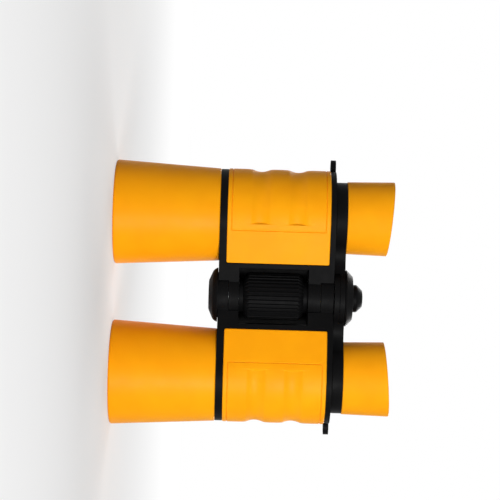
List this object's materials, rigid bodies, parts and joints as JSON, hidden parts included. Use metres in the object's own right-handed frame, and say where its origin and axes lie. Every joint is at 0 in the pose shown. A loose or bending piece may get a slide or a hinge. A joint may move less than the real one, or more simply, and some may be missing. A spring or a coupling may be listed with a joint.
{
  "type": "toy binoculars",
  "caption": "Folding toy binoculars with flared objective barrels, wrap-round grip panels, a ribbed focusing wheel on the hinge and slanted eyecups that slide out to focus.",
  "frame": {"origin": "on the surface that the part stands on, below the middle of its outline, in the plane of the optical axes", "axes": "+Z along the optical axes towards the eyepieces, -Y towards the side of the focusing wheel, +X towards the half before the user's left eye"},
  "size_m": [0.1034, 0.039, 0.1041],
  "materials": {
    "yellow_plastic": "satin moulded plastic, warm yellow",
    "yellow_rubber": "soft matt rubber, warm yellow",
    "black_plastic": "fine-grained moulded plastic, black",
    "black_inner": "smooth matt plastic, black",
    "lens": "polished clear",
    "steel": "turned and zinc-plated",
    "brass": "turned"
  },
  "bodies": {
    "left_half": {"left_front_shell": "black_plastic", "left_back_shell": "black_plastic", "left_shell_screws": "steel", "left_grip_panel": "yellow_plastic", "left_optical_tube": "black_inner", "left_objective_barrel": "yellow_plastic", "left_objective_lens": "lens", "left_objective_ring": "black_inner", "hinge_pin": "steel", "hinge_cap": "black_plastic", "hinge_bush": "brass"},
    "right_half": {"right_front_shell": "black_plastic", "right_back_shell": "black_plastic", "right_shell_screws": "steel", "right_grip_panel": "yellow_plastic", "right_optical_tube": "black_inner", "right_objective_barrel": "yellow_plastic", "right_objective_lens": "lens", "right_objective_ring": "black_inner"},
    "wheel": {"focus_wheel": "black_plastic", "wheel_insert": "brass"},
    "left_eyepiece": {"left_eyepiece_arm": "black_plastic", "left_eyepiece_tube": "black_inner", "left_eyepiece_lens": "lens", "left_eyepiece_ring": "black_inner", "left_eyecup": "yellow_rubber", "focus_spindle": "steel", "hub_cap": "black_plastic", "domed_nut": "black_plastic"},
    "right_eyepiece": {"right_eyepiece_arm": "black_plastic", "right_eyepiece_tube": "black_inner", "right_eyepiece_lens": "lens", "right_eyepiece_ring": "black_inner", "right_eyecup": "yellow_rubber"}
  },
  "joints": [
    {"name": "fold", "type": "hinge", "parent": "left_half", "child": "right_half", "pos_m": [0, -0.003, 0.0606], "axis": [0, 0, -1], "range_deg": [0, 50]},
    {"name": "focus_spin", "type": "hinge", "parent": "left_half", "child": "wheel", "pos_m": [0, -0.003, 0.0597], "axis": [0, 0, -1], "range_deg": [0, 450]},
    {"name": "left_focus", "type": "slide", "parent": "left_half", "child": "left_eyepiece", "axis": [0, 0, 1], "range_m": [0, 0.008]},
    {"name": "right_focus", "type": "slide", "parent": "right_half", "child": "right_eyepiece", "axis": [0, 0, 1], "range_m": [0, 0.008]}
  ],
  "couplings": [
    {"joint": "left_focus", "follows": "focus_spin", "m_per_rad": 0.001018},
    {"joint": "right_focus", "follows": "focus_spin", "m_per_rad": 0.001018}
  ]
}
